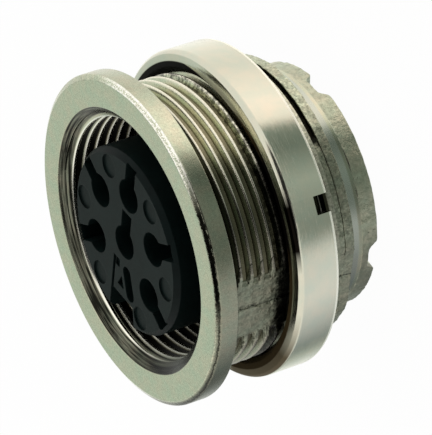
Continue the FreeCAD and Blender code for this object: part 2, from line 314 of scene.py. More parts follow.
def inner_thread(turn):
    """The mating thread, cut back by the mouth's lead-in, from the mouth down."""
    low, high = SOCKET_THREAD_END, FRONT - LEAD_IN_EDGE
    rows = []
    for crest, height, inside in thread_rows(INNER_FORM, low, high, INNER_PHASE, turn + 180):
        fade = smooth(height, low, low + INNER_RUN_IN) if inside else 0
        radius = SOCKET_ROOT - (SOCKET_ROOT - SOCKET_CREST) * crest * fade
        cone = MOUTH_RADIUS - LEAD_IN_SLOPE * (FRONT - height)
        rows.append((max(radius, cone), height))
    return rows[::-1]


# Outlines of the shell as (radius, height, rounding of the corner)
SKIRT_PROFILE = rounded([
    (SKIRT_BORE, BORE_EDGE, 0),
    (SKIRT_BORE, 0, 0.1),
    (SKIRT_RADIUS, 0, 0.12),
    (SKIRT_RADIUS, NOTCH_REACH, 0.05),
    (SKIRT_RADIUS, SKIRT_TOP, 0.1),
    (COLLAR_RADIUS, SKIRT_TOP, 0.08),
    (COLLAR_RADIUS, COLLAR_FRONT, 0.07),
    (COLLAR_RADIUS - COLLAR_ROUNDING, COLLAR_FRONT, 0),
])
FLANGE_PROFILE = rounded([
    (THREAD_ROOT, FLANGE_REAR, 0),
    (FLANGE_RADIUS, FLANGE_REAR, 0.09),
    (FLANGE_RADIUS, FRONT - BEVEL_HEIGHT, 0.06),
    (BEVEL_INNER, FRONT, 0.05),
    (MOUTH_RADIUS, FRONT, 0.05),
    (MOUTH_RADIUS - LEAD_IN_SLOPE * LEAD_IN_EDGE, FRONT - LEAD_IN_EDGE, 0),
])
REAR_BORE_PROFILE = rounded([
    (SOCKET_ROOT, SOCKET_THREAD_END, 0),
    (SOCKET_ROOT, SOCKET_FLOOR, 0.15),
    (LIP_OPENING, SOCKET_FLOOR, 0.05),
    (LIP_OPENING, LIP_REAR, 0.05),
    (SKIRT_BORE, LIP_REAR, 0.1),
    (SKIRT_BORE, RING_GROOVE_FRONT, 0.04),
    (RING_GROOVE_RADIUS, RING_GROOVE_FRONT, 0.04),
    (RING_GROOVE_RADIUS, RING_GROOVE_REAR, 0.04),
    (SKIRT_BORE, RING_GROOVE_REAR, 0.04),
    (SKIRT_BORE, BORE_EDGE + SOFT, 0),
])


def notched(profile, turn):
    """A profile whose rear edge rises where the turn meets a notch."""
    across = min(SKIRT_RADIUS * math.radians(turn_gap(turn, notch)) for notch in NOTCH_TURNS)
    rise = NOTCH_DEPTH * (1 - smooth(across, NOTCH_FLOOR, NOTCH_MOUTH))
    return [(radius, height + rise * (1 - smooth(height, 0, NOTCH_REACH))) for radius, height in profile]


def relief_rows(turn):
    """The relief groove behind the thread, and the land in front of it."""
    before = 1 - smooth(turn, RELIEF_START, RELIEF_START + RELIEF_FADE)
    after = smooth(turn, RELIEF_END - RELIEF_FADE, RELIEF_END)
    floor = THREAD_ROOT + (COLLAR_RADIUS - THREAD_ROOT) * max(before, after)
    return [
        (floor, COLLAR_FRONT + THIN),
        (floor, RELIEF_FRONT - SLIM),
        (LAND_RADIUS, RELIEF_FRONT),
        (LAND_RADIUS, THREAD_END - SOFT),
    ]


def shell_rows(station):
    """The whole outline at a station: outside from the rear rim to the mouth, and back inside."""
    turn = station[0]
    outer = notched(SKIRT_PROFILE, turn) + relief_rows(turn) + outer_thread(turn)
    return outer + FLANGE_PROFILE + inner_thread(turn) + notched(REAR_BORE_PROFILE, turn)


def rough(point, scale, height):
    """Unevenness of a cast skin, as a distance."""
    return height * (noise.fractal(point * scale, SKIN_FALL, SKIN_SPACING, SKIN_LAYERS) - SKIN_MEAN)


def shell_shape(point, radius):
    """Cut the flats, roughen the cast surfaces and draw the parting line across the flats."""
    on_barrel = SKIRT_TOP - SOFT < point.z < FLANGE_REAR - HAIR and radius > THREAD_ROOT - WIDE
    if on_barrel and abs(point.x) > FLAT_DISTANCE:
        seam = point.y - PARTING - SEAM_WAVE * math.sin(point.z * SEAM_BENDS) - rough(point, *SEAM_SKIN)
        dent = SEAM_DEPTH * math.exp(-(seam / SEAM_WIDTH) ** 2)
        point.x = math.copysign(FLAT_DISTANCE + rough(point, *FLAT_SKIN) - dent, point.x)
        return point
    outward = Vector((point.x, point.y, 0)).normalized()
    if point.z < NOTCH_REACH and radius > SKIRT_BORE + WIDE:
        return point + outward * rough(point, *SKIRT_SKIN)
    if SKIRT_TOP - SOFT < point.z < RELIEF_FRONT and radius > SKIRT_RADIUS + BROAD:
        return point + outward * rough(point, *COLLAR_SKIN)
    return point


# Ring nut

# Outline of the nut as (radius, height, rounding of the corner)
NUT_PROFILE = rounded([
    (NUT_BORE, NUT_REAR + NUT_BORE_MIDDLE, 0),
    (NUT_BORE, NUT_REAR + NUT_COUNTERSINK, 0.05),
    (NUT_BORE + NUT_COUNTERSINK, NUT_REAR, 0.05),
    (NUT_RADIUS, NUT_REAR, 0.1),
    (NUT_RADIUS, NUT_FRONT - NUT_BEVEL_HEIGHT, 0.16),
    (NUT_RADIUS - NUT_SHOULDER_WIDTH, NUT_FRONT - NUT_SHOULDER_HEIGHT, 0.04),
    (NUT_RADIUS - NUT_BEVEL_WIDTH, NUT_FRONT, 0.05),
    (NUT_BORE + NUT_COUNTERSINK, NUT_FRONT, 0.05),
    (NUT_BORE, NUT_FRONT - NUT_COUNTERSINK, 0.05),
    (NUT_BORE, NUT_REAR + NUT_BORE_MIDDLE + SOFT, 0),
], steps=4)


def nut_stations():
    """Even columns, and at each slot a pair for either wall."""
    half = [(turn, 0) for turn in range(SLOT_MARGIN, SLOT_TURN - SLOT_MARGIN, NUT_STEP)]
    half += [(SLOT_TURN, sideways) for sideways in
             (-SLOT_HALF - SLOT_WALL, -SLOT_HALF, SLOT_HALF, SLOT_HALF + SLOT_WALL)]
    whole = half + [(turn + 180, sideways) for turn, sideways in half] + [(half[0][0] + 360, 0)]
    return [(turn + NUT_TURN, sideways) for turn, sideways in whole]


def nut_rows(station):
    """The outline, cut off at the slot's floor where the station lies in a spanner slot."""
    in_slot = 0 < abs(station[1]) <= SLOT_HALF
    floor = NUT_REAR + SLOT_DEPTH
    return [(radius, max(height, floor) if in_slot else height) for radius, height in NUT_PROFILE]


shell = lathe("shell_body", shell_stations(), shell_rows, shell_shape)
ring_nut = lathe("ring_nut_body", nut_stations(), nut_rows)


# Materials

class Paint:
    """The nodes of one material or of the world, added by what they work out."""

    def __init__(self, owner):
        owner.use_nodes = True
        self.nodes = owner.node_tree.nodes
        self.link = owner.node_tree.links.new

    def put(self, socket, value):
        """Link a socket to an output, or set it. A colour gets its alpha."""
        if isinstance(value, bpy.types.NodeSocket):
            self.link(value, socket)
        elif isinstance(value, tuple) and len(socket.default_value) > len(value):
            socket.default_value = (*value, 1)
        else:
            socket.default_value = value

    def add(self, kind, **settings):
        """A node with its own settings, its inputs by name with _ for a space, or by i and number."""
        node = self.nodes.new(kind)
        for key, value in settings.items():
            if hasattr(node, key):
                setattr(node, key, value)
            elif key[0] == "i" and key[1:].isdigit():
                self.put(node.inputs[int(key[1:])], value)
            else:
                self.put(node.inputs[key.replace("_", " ")], value)
        return node

    def calc(self, operation, a, b=0.0):
        return self.add("ShaderNodeMath", operation=operation, i0=a, i1=b).outputs[0]

    def plus(self, a, b):
        return self.calc("ADD", a, b)

    def minus(self, a, b):
        return self.calc("SUBTRACT", a, b)

    def times(self, a, b):
        return self.calc("MULTIPLY", a, b)

    def without(self, mask):
        """Where a mask is 0."""
        return self.minus(1.0, mask)

    def both(self, *masks):
        """Where every mask is 1."""
        whole = masks[0]
        for mask in masks[1:]:
            whole = self.times(whole, mask)
        return whole

    def either(self, *masks):
        """Where any mask is 1."""
        whole = masks[0]
        for mask in masks[1:]:
            whole = self.calc("MAXIMUM", whole, mask)
        return whole

    def ramp(self, value, low, high):
        """0 at low and 1 at high, either of which may be the greater."""
        return self.add("ShaderNodeMapRange", Value=value, From_Min=low, From_Max=high).outputs[0]

    def band(self, value, low, high, edge):
        """1 while a value is between low and high, with soft edges."""
        rise = self.ramp(value, low - edge, low + edge)
        fall = self.ramp(value, high + edge, high - edge)
        return self.times(rise, fall)

    def sector(self, turn, low, high, edge):
        """1 between two turns, given in degrees."""
        return self.band(turn, math.radians(low), math.radians(high), math.radians(edge))

    def keep(self, shade, mask, share):
        """Bring a shade down to a share of itself where a mask is 1."""
        return self.times(shade, self.without(self.times(mask, 1 - share)))

    def mix(self, share, a, b):
        """Colour a where a share is 0 and b where it is 1."""
        return self.add("ShaderNodeMix", data_type="RGBA", i0=share, i6=a, i7=b).outputs[2]

    def scaled(self, vector, scale):
        return self.add("ShaderNodeVectorMath", operation="SCALE", i0=vector, Scale=scale).outputs[0]

    def vector(self, x, y, z=0.0):
        return self.add("ShaderNodeCombineXYZ", X=x, Y=y, Z=z).outputs[0]

    def grain(self, point, scale, detail=4.0, rough_share=0.6):
        noise_node = self.add("ShaderNodeTexNoise", Vector=point, Scale=scale, Detail=detail,
                              Roughness=rough_share)
        return noise_node.outputs[0]

    def bump(self, height, strength, distance, normal=None):
        node = self.add("ShaderNodeBump", Strength=strength, Distance=distance * MM, Height=height)
        if normal:
            self.link(normal, node.inputs["Normal"])
        return node.outputs[0]

    def surface(self):
        """Where a point lies on the object, in millimetres, with its turn in radians."""
        point = self.scaled(self.add("ShaderNodeTexCoord").outputs["Object"], 1 / MM)
        x, y, z = self.add("ShaderNodeSeparateXYZ", i0=point).outputs
        radius = self.calc("SQRT", self.plus(self.times(x, x), self.times(y, y)))
        turn = self.calc("ARCTAN2", x, y)
        return SimpleNamespace(point=point, radius=radius, height=z, turn=turn, x=x, y=y)


def new_material(name, metallic, roughness, color):
    material = bpy.data.materials.new(name)
    paint = Paint(material)
    shader = paint.nodes["Principled BSDF"]
    shader.inputs["Metallic"].default_value = metallic
    shader.inputs["Roughness"].default_value = roughness
    shader.inputs["Base Color"].default_value = (*color, 1)
    return material, paint, shader


METALLIC = 1.0
NOT_METALLIC = 0.0
PLATING_ROUGHNESS = 0.3
TURNED_ROUGHNESS = 0.2

NICKEL = (0.60, 0.63, 0.52)
NICKEL_WARM = (0.66, 0.64, 0.52)
CASTING = (0.53, 0.59, 0.44)
CASTING_WARM = (0.60, 0.59, 0.44)
# Colour painted as a highlight along the barrel's thread crests
CREST_BRIGHT = (0.80, 0.78, 0.64)
# Cream painted as a highlight on the flange's bevel, the socket's thread crests and the nut's rear edge
POLISHED = (0.97, 0.97, 0.86)
CASTING_DULL = (0.27, 0.30, 0.22)
# Olive painted as shade in the thread roots and at the nut's rear
ROOT_OLIVE = (0.20, 0.19, 0.12)
STRIP_GREY = (0.50, 0.55, 0.49)
PIT = (0.08, 0.08, 0.06)
# Brown and black painted on the nut as reflection and shade at its front face and lower edge
NUT_BROWN = (0.085, 0.06, 0.025)
NUT_BLACK = (0.006, 0.005, 0.004)

# Grains: how fine, how many layers, and how rough the layers are
MOTTLE_GRAIN = (1.1, 3.0)
FINE_GRAIN = (12.0, 3.0)
LUMP_GRAIN = (3.2, 4.0, 0.7)
PIT_GRAIN = (4.5, 3.0)
SPECKLE_GRAIN = (8.0, 4.0, 0.8)
SPARKLE_GRAIN = (6.0, 3.0, 0.7)
RING_GRAIN = (1.0, 3.0)
LINE_GRAIN = (1.0, 3.0, 0.7)
STREAK_GRAIN = (1.0, 2.0)
NICKEL_GRAIN = (0.9,)
MOULDED_GRAIN = (9.0, 4.0, 0.7)
CLOUD_GRAIN = (1.3, 3.0)
METAL_GRAIN = (10.0, 3.0)
METAL_MOTTLE = (2.0,)
MIDDLE = 0.5

# Levels of a grain between which it turns into a mask
MOTTLE_LEVELS = (0.35, 0.65)
DULL_LEVELS = (0.62, 0.40)
PIT_LEVELS = (0.33, 0.27)
LINE_LEVELS = (0.5, 0.56)
POLISH_LEVELS = (0.30, 0.40)
SEAM_LEVELS = (0.40, 0.48)
CRUST_LEVELS = (0.58, 0.44)
RING_LEVELS = (0.62, 0.42)
CLOUD_LEVELS = (0.3, 0.7)

# Relief of a skin: strength, and height in millimetres
SKIN_RELIEF = (0.2, 0.02)
CAST_RELIEF = (0.5, 0.12)
LINE_RELIEF = (0.35, 0.01)
STREAK_RELIEF = (0.3, 0.03)
MOULDED_RELIEF = (0.3, 0.02)
METAL_RELIEF = (0.15, 0.01)

# Widths of the painted dark line and bright lines on the bevel, and of the painted shade in corners
HAIRLINE_REACH = 0.15
INNER_LINE = 0.08
OUTER_LINE = 0.13
ROOT_GRIME = 0.14
GROOVE_GRIME = 0.15
CRUST_SOFTNESS = 0.08
SEAM_WANDER = 0.5
UNDER_FLANGE_START = 1.1
UNDER_FLANGE_MARGIN = 0.28
UNDER_FLANGE_SOFTNESS = 0.12
LEAD_IN_MARGIN = 0.035
BORE_MARGIN = 0.13
BORE_START = 1.0
DEEP_START = 2.0
DEEP_END = 1.5
RING_SPACING = 9.0
RING_LENGTH = 0.25

# Heights of the smooth strip and of the painted shade round the nut on the shell
STRIP_HEIGHTS = (1.35, 2.1)
NUT_STOP_HEIGHTS = (3.85, 4.3)
BEHIND_NUT = 6.8
NUT_FRONT_GRIME = (6.8, 6.9)
NUT_FRONT_GRIME_END = (6.96, 6.84)
GRIME_SPREAD = 0.75
CRUST_HEIGHTS = (7.1, 7.85)

# Turns of the painted shade, dark reflections and highlights, as start, end and softness
UNDERSIDE = (27, 172, 5)
SCUFFED = (38, 80, 6)
HAIRLINE = (80, 140, 5)
TOP_HANDLED = (-22, 36, 6)
BACK_HANDLED = (-190, -97, 8)
REAR_HANDLED = (158, 190, 5)
RESTING_SIDE = (103, 150, 12)
UPPER_RIM = (-45, -2, 8)
CREST_WORN_START = (34, 48)
CREST_WORN_END = (178, 170)

# The same as radians, for the painted shade that starts and ends gradually
GRIME_START = (0.4, 0.6)
GRIME_END = (3.1, 2.9)
REACH_END = (1.2, 1.5)

# Colours that the casting takes in its regions, in the order in which they cover each other, painted
# highlights and shade among them
CASTING_TINTS = (
    ("dull", CASTING_DULL),
    ("pits", PIT),
    ("strip_tint", STRIP_GREY),
    ("crest", CREST_BRIGHT),
    ("polished", POLISHED),
    ("root", ROOT_OLIVE),
    ("bore_crest", POLISHED),
    ("nut_stop", ROOT_OLIVE),
)
BEVEL_ROUGH = 0.6
DULL_SHARE = 0.55
PIT_SHARE = 0.8
PIT_EVERYWHERE = 0.1
STRIP_SHARE = 0.75

# Brightness of the bare casting
SPECKLE_BASE = 0.47
SPECKLE_GAIN = 1.1
SPARKLE_GAIN = 2.0
FLAT_CALM = 0.55

# Roughness of the casting: everywhere, with its fine grain, where it is rough, and on the bevel
CAST_ROUGHNESS = 0.2
GRAIN_ROUGHNESS = 0.14
SKIN_ROUGHNESS = 0.12
BEVEL_POLISH = 0.1

# Share of its brightness that the casting keeps under each painted shade or dark reflection, and at the
# parting line
UNDERSIDE_KEPT = 0.45
REACH_GAIN = 0.22
CASTING_KEPT = (
    ("resting_side", 0.4),
    ("reach_end", 0.62),
    ("upper_rim", 0.76),
    ("scuffed", 0.03),
    ("hairline", 0.2),
    ("worn_low", 0.22),
    ("parting", 0.05),
    ("behind_nut", 0.5),
    ("nut_stop", 0.4),
    ("nut_front", 0.16),
    ("crusted", 0.25),
    ("relief_groove", 0.06),
    ("under_flange", 0.04),
    ("lead_in_rings", 0.06),
    ("lead_in", 0.35),
    ("bore", 0.01),
    ("deep", 0.4),
)


def casting_grains(paint, point):
    """The unevenness that the casting's colour, wear and relief are drawn from."""
    return SimpleNamespace(
        mottle=paint.grain(point, *MOTTLE_GRAIN),
        fine=paint.grain(point, *FINE_GRAIN),
        lumps=paint.grain(point, *LUMP_GRAIN),
        pits=paint.ramp(paint.grain(point, *PIT_GRAIN), *PIT_LEVELS),
        speckle=paint.grain(point, *SPECKLE_GRAIN),
        sparkle=paint.grain(point, *SPARKLE_GRAIN),
    )


def casting_regions(paint, at):
    """Masks of the shell's bevel, skirt, collar, barrel, flats and crests."""
    on = SimpleNamespace()
    on.bevel = paint.both(paint.band(at.radius, BEVEL_INNER - HAIR, FLANGE_RADIUS - HAIR, HAIR),
                          paint.band(at.height, FRONT - BEVEL_HEIGHT - HAIR, FRONT + WIDE, FINE))
    on.skirt = paint.both(paint.band(at.radius, SKIRT_BORE, SKIRT_RADIUS + BROAD, WIDE),
                          paint.band(at.height, -BROAD, NOTCH_REACH, THIN))
    on.collar = paint.both(paint.band(at.radius, SKIRT_RADIUS + BROAD, THREAD_CREST + BROAD, WIDE),
                           paint.band(at.height, SKIRT_TOP - WIDE, RELIEF_FRONT + LOOSE, WIDE))
    on.barrel = paint.band(at.height, SKIRT_TOP, FLANGE_REAR, HAIR)
    on.flat = paint.both(
        on.barrel,
        paint.band(paint.calc("ABSOLUTE", at.x), FLAT_DISTANCE - BROAD, FLAT_DISTANCE + WIDE, HAIR),
        paint.band(at.radius, FLAT_DISTANCE - BROAD, THREAD_CREST + WIDE, HAIR))
    on.cast = paint.either(on.skirt, on.collar, on.flat)
    on.rough = paint.either(on.cast, paint.times(on.bevel, BEVEL_ROUGH))
    on.strip = paint.both(paint.band(at.height, *STRIP_HEIGHTS, SOFT),
                          paint.band(at.radius, SKIRT_RADIUS - BROAD, SKIRT_RADIUS + BROAD, SOFT))
    # Thread crests, which get a painted highlight
    on.crest = paint.both(on.barrel, paint.ramp(at.radius, THREAD_CREST - WIDE, THREAD_CREST - FINE),
                          paint.ramp(at.radius, THREAD_CREST + BROAD, THREAD_CREST + WIDE))
    on.outside = paint.both(paint.band(at.radius, SKIRT_BORE + LOOSE, FLANGE_RADIUS + BROAD, SOFT),
                            paint.ramp(at.height, FRONT - HAIR, FRONT - WIDE))
    on.flange = paint.both(on.outside, paint.ramp(at.height, FLANGE_REAR - WIDE, FLANGE_REAR))
    on.past_bore = paint.ramp(at.radius, SOCKET_ROOT + WIDE, SOCKET_ROOT + BROAD)
    return on


def bevel_wear(paint, at, on, grains):
    """Painted dark reflections and painted highlights on the flange's bevel."""
    wander = paint.times(paint.minus(grains.lumps, MIDDLE), LOOSE)
    ragged = paint.plus(at.radius, wander)
    # A band and a thin line of painted dark reflection on the bevel
    scuffed = paint.band(ragged, BEVEL_INNER + THIN, FLANGE_RADIUS - SLIM, HAIR)
    hairline = paint.band(ragged, FLANGE_RADIUS - HAIRLINE_REACH, FLANGE_RADIUS - SLIM, HAIR)
    lines = paint.either(paint.band(ragged, BEVEL_INNER, BEVEL_INNER + INNER_LINE, FINE),
                         paint.band(at.radius, FLANGE_RADIUS - OUTER_LINE, FLANGE_RADIUS, HAIR),
                         paint.ramp(grains.fine, *LINE_LEVELS))
    # Turns at which the bevel's lines and sides get a painted highlight
    handled = paint.either(paint.both(lines, paint.sector(at.turn, *TOP_HANDLED)),
                           paint.sector(at.turn, *BACK_HANDLED), paint.sector(at.turn, *REAR_HANDLED))
    return {
        "scuffed": paint.both(on.bevel, scuffed, paint.sector(at.turn, *SCUFFED)),
        "hairline": paint.both(on.bevel, hairline, paint.sector(at.turn, *HAIRLINE)),
        "polished": paint.both(on.bevel, handled, paint.ramp(grains.lumps, *POLISH_LEVELS)),
    }


def barrel_stains(paint, at, on, grains):
    """Painted shade in and behind the thread, on the lower crests, round the nut, in the relief groove and
    under the flange, and the parting line.
    """
    over_thread = paint.band(at.radius, FLAT_DISTANCE - LOOSE, THREAD_CREST + WIDE, SOFT)
    # Painted shade in the thread roots
    in_root = paint.ramp(at.radius, THREAD_ROOT + ROOT_GRIME, THREAD_ROOT + THIN)
    grime_start = paint.ramp(at.turn, *GRIME_START)
    spread = paint.minus(at.height, paint.times(grime_start, GRIME_SPREAD))
    across = paint.plus(at.y, paint.times(paint.minus(grains.lumps, MIDDLE), SEAM_WANDER))
    # Painted shade on the crests of the lower side
    worn_start = paint.ramp(at.turn, *(math.radians(turn) for turn in CREST_WORN_START))
    worn_end = paint.ramp(at.turn, *(math.radians(turn) for turn in CREST_WORN_END))
    return {
        "root": paint.both(on.barrel, in_root, paint.without(on.flat)),
        # Painted shade on the thread just before the nut's front, fading in and out round the turn
        "nut_front": paint.both(on.barrel, paint.ramp(at.height, *NUT_FRONT_GRIME),
                                paint.ramp(spread, *NUT_FRONT_GRIME_END), grime_start,
                                paint.ramp(at.turn, *GRIME_END)),
        # Painted shade on the thread under the nut
        "behind_nut": paint.both(paint.band(at.height, THREAD_END + BROAD, BEHIND_NUT, LOOSE), over_thread),
        # Olive painted shade on the land just behind the nut's rear
        "nut_stop": paint.both(paint.band(at.height, *NUT_STOP_HEIGHTS, THIN), over_thread),
        # Mottled painted shade on the thread at the nut's front
        "crusted": paint.both(on.barrel, paint.band(at.height, *CRUST_HEIGHTS, CRUST_SOFTNESS),
                              paint.ramp(grains.lumps, *CRUST_LEVELS)),
        # Painted shade in the relief groove behind the thread
        "relief_groove": paint.both(paint.band(at.height, COLLAR_FRONT - HAIR, RELIEF_FRONT + HAIR, FINE),
                                    paint.band(at.radius, THREAD_ROOT - BROAD, THREAD_ROOT + GROOVE_GRIME,
                                               FINE),
                                    paint.without(on.flat)),
        # Painted shadow on the thread under the flange
        "under_flange": paint.both(
            paint.band(at.radius, THREAD_ROOT - LOOSE, FLANGE_RADIUS - UNDER_FLANGE_MARGIN,
                       UNDER_FLANGE_SOFTNESS),
            paint.ramp(at.height, FLANGE_REAR - UNDER_FLANGE_START, FLANGE_REAR - LOOSE),
            paint.ramp(at.height, FLANGE_REAR + SLIM, FLANGE_REAR + HAIR)),
        "worn_low": paint.both(on.crest, worn_start, worn_end),
        "parting": paint.both(on.flat, paint.band(across, PARTING - SOFT, PARTING + SOFT, FINE),
                              paint.ramp(grains.fine, *SEAM_LEVELS)),
    }


def socket_stains(paint, at):
    """Painted shade on the lead-in cone, darker still in rings, on the thread's walls and roots and deeper
    in the socket, and a painted highlight on the thread crests.
    """
    ring_point = paint.vector(paint.times(at.height, RING_SPACING), paint.times(at.x, RING_LENGTH),
                              paint.times(at.y, RING_LENGTH))
    rings = paint.ramp(paint.grain(ring_point, *RING_GRAIN), *RING_LEVELS)
    lead_in = paint.both(paint.band(at.height, FRONT - LEAD_IN_DEPTH - HAIR, FRONT - LEAD_IN_MARGIN, HAIR),
                         paint.band(at.radius, SOCKET_CREST + WIDE, MOUTH_RADIUS + HAIR, HAIR))
    return {
        "lead_in": lead_in,
        "lead_in_rings": paint.both(lead_in, rings),
        "bore": paint.both(paint.band(at.height, SOCKET_FLOOR - WIDE, FRONT - BORE_START, SLIM),
                           paint.band(at.radius, SOCKET_CREST + BORE_MARGIN, SOCKET_ROOT + WIDE, FINE)),
        "deep": paint.both(paint.ramp(at.height, FRONT - DEEP_START, SOCKET_FLOOR + DEEP_END),
                           paint.band(at.height, SOCKET_FLOOR - WIDE, FRONT, WIDE),
                           paint.band(at.radius, SOCKET_CREST - WIDE, SOCKET_ROOT + WIDE, FINE)),
        # Painted highlight along the socket thread's crests
        "bore_crest": paint.both(paint.ramp(at.radius, SOCKET_CREST + WIDE, SOCKET_CREST + SOFT),
                                 paint.ramp(at.radius, SOCKET_CREST - BROAD, SOCKET_CREST - WIDE),
                                 paint.band(at.height, SOCKET_FLOOR, FRONT - LOOSE, SOFT)),
    }


def side_stains(paint, at, on):
    """Painted shade on the lower side with the skirt left brighter in it, and painted shade on the flange's
    shadow side and upper rim.
    """
    underside = paint.both(on.outside, paint.without(on.crest), paint.sector(at.turn, *UNDERSIDE))
    reach = paint.both(underside, paint.either(on.skirt, on.strip))
    return {
        "underside": underside,
        "reach": reach,
        "reach_end": paint.both(reach, paint.ramp(at.turn, *REACH_END)),
        "resting_side": paint.both(on.flange, paint.sector(at.turn, *RESTING_SIDE)),
        "upper_rim": paint.both(on.flange, paint.without(on.bevel), paint.sector(at.turn, *UPPER_RIM)),
    }


def casting_speckle(paint, on, grains):
    """Brightness of the bare casting, grainier where the mould left it rough, and even in the bore."""
    grainy = paint.minus(on.rough, paint.times(on.flat, FLAT_CALM))
    sparkle = paint.times(paint.minus(grains.sparkle, MIDDLE), SPARKLE_GAIN)
    speckle = paint.plus(paint.times(grains.speckle, SPECKLE_GAIN), SPECKLE_BASE)
    speckle = paint.plus(speckle, paint.both(grainy, sparkle))
    return paint.plus(1.0, paint.both(on.past_bore, paint.minus(speckle, 1.0)))


def casting_material():
    """Nickel over a zinc casting: satin, mottled, with pits where the mould left it rough, and with painted
    shade and highlights in its colour.
    """
    material, paint, shader = new_material("plated_casting", METALLIC, PLATING_ROUGHNESS, CASTING)
    at = paint.surface()
    grains = casting_grains(paint, at.point)
    on = casting_regions(paint, at)
    rough_share = paint.plus(paint.times(on.rough, PIT_SHARE), PIT_EVERYWHERE)
    marks = {
        "dull": paint.both(paint.ramp(grains.lumps, *DULL_LEVELS), paint.times(on.rough, DULL_SHARE)),
        "pits": paint.both(grains.pits, rough_share),
        "strip_tint": paint.times(on.strip, STRIP_SHARE),
        "crest": on.crest,
    }
    marks.update(bevel_wear(paint, at, on, grains))
    marks.update(barrel_stains(paint, at, on, grains))
    marks.update(socket_stains(paint, at))
    marks.update(side_stains(paint, at, on))

    color = paint.mix(paint.ramp(grains.mottle, *MOTTLE_LEVELS), CASTING, CASTING_WARM)
    for name, tint in CASTING_TINTS:
        color = paint.mix(marks[name], color, tint)
    # Painted shade on the lower side, lighter again on the skirt, then the painted shade and dark
    # reflections listed above
    shade = paint.keep(casting_speckle(paint, on, grains), marks["underside"], UNDERSIDE_KEPT)
    shade = paint.plus(shade, paint.times(marks["reach"], REACH_GAIN))
    for name, share in CASTING_KEPT:
        shade = paint.keep(shade, marks[name], share)
    paint.link(paint.scaled(color, shade), shader.inputs["Base Color"])

    roughness = paint.plus(paint.times(grains.fine, GRAIN_ROUGHNESS), CAST_ROUGHNESS)
    roughness = paint.plus(roughness, paint.times(on.cast, SKIN_ROUGHNESS))
    roughness = paint.minus(roughness, paint.times(on.bevel, BEVEL_POLISH))
    paint.link(roughness, shader.inputs["Roughness"])
    skin = paint.bump(paint.both(grains.fine, on.past_bore), *SKIN_RELIEF)
    relief = paint.minus(paint.both(grains.lumps, on.rough), paint.both(marks["pits"], on.past_bore))
    paint.link(paint.bump(relief, *CAST_RELIEF, skin), shader.inputs["Normal"])
    return material


# Turns on the nut, as start, end and softness
NUT_WIPED = (-14, 16, 10)
NUT_OILY = ((-8, 28, 6), (70, 120, 6))
NUT_SHADED = (47, 70, 4)
NUT_RESTING = (102, 165, 12)
BROWN_RADIUS = 9.72
WIPED_WIDTH = 0.42

# Edges of the nut's regions, measured from its front, rear and outer radius
SHADED_DEPTH = 0.34
SHADED_WIDTH = (0.5, 0.42)
RESTING_DEPTH = 0.36
REAR_EDGE_HEIGHT = 0.14
REAR_EDGE_WIDTH = 0.16
FRONT_FACE_WIDTH = (0.45, 0.65)

# Fine lines round the nut and streaks across them: how close, and how short
LINE_SPACING = 22.0
LINE_LENGTH = 1.2
STREAK_SPACING = 20.0
STREAK_LENGTH = 7.0

# Roughness of the nut: everywhere, with its lines, and in its regions
NUT_ROUGHNESS = 0.08
LINE_ROUGHNESS = 0.1
INSIDE_ROUGHNESS = 0.55
REAR_EDGE_ROUGHNESS = 0.4
RESTING_ROUGHNESS = 0.5
WIPED_ROUGHNESS = 0.4
RESTING_SHARE = 0.95


def nut_regions(paint, at):
    """Masks of the nut's bore side, front face and bevel, where reflection and shade are painted, and of
    its rear edge, which gets a painted highlight.
    """
    on = SimpleNamespace()
    # Sector where the painted shade inside the front face stops short of the face
    on.wiped = paint.sector(at.turn, *NUT_WIPED)
    brown_end = paint.minus(BROWN_RADIUS, paint.times(on.wiped, WIPED_WIDTH))
    on.inside = paint.ramp(paint.minus(at.radius, brown_end), FINE, -FINE)
    # Sectors where the inside of the front face is painted brown as a reflection of the lit thread;
    # elsewhere it is painted black as shade
    on.oily = paint.either(*(paint.sector(at.turn, *turns) for turns in NUT_OILY))
    on.shaded = paint.both(paint.ramp(at.height, NUT_FRONT - SHADED_DEPTH, NUT_FRONT - LOOSE),
                           paint.ramp(at.radius, *(NUT_RADIUS - width for width in SHADED_WIDTH)),
                           paint.sector(at.turn, *NUT_SHADED))
    # Lower part of the front bevel, painted dark brown as shade
    on.resting = paint.both(paint.ramp(at.height, NUT_FRONT - RESTING_DEPTH, NUT_FRONT - LOOSE),
                            paint.sector(at.turn, *NUT_RESTING))
    on.rear_edge = paint.both(paint.ramp(at.height, NUT_REAR + BROAD, NUT_REAR + REAR_EDGE_HEIGHT),
                              paint.ramp(at.radius, NUT_RADIUS - REAR_EDGE_WIDTH, NUT_RADIUS - WIDE))
    on.front_face = paint.both(paint.ramp(at.height, NUT_FRONT - SLIM, NUT_FRONT - HAIR),
                               paint.ramp(at.radius, *(NUT_RADIUS - width for width in FRONT_FACE_WIDTH)),
                               on.wiped)
    return on


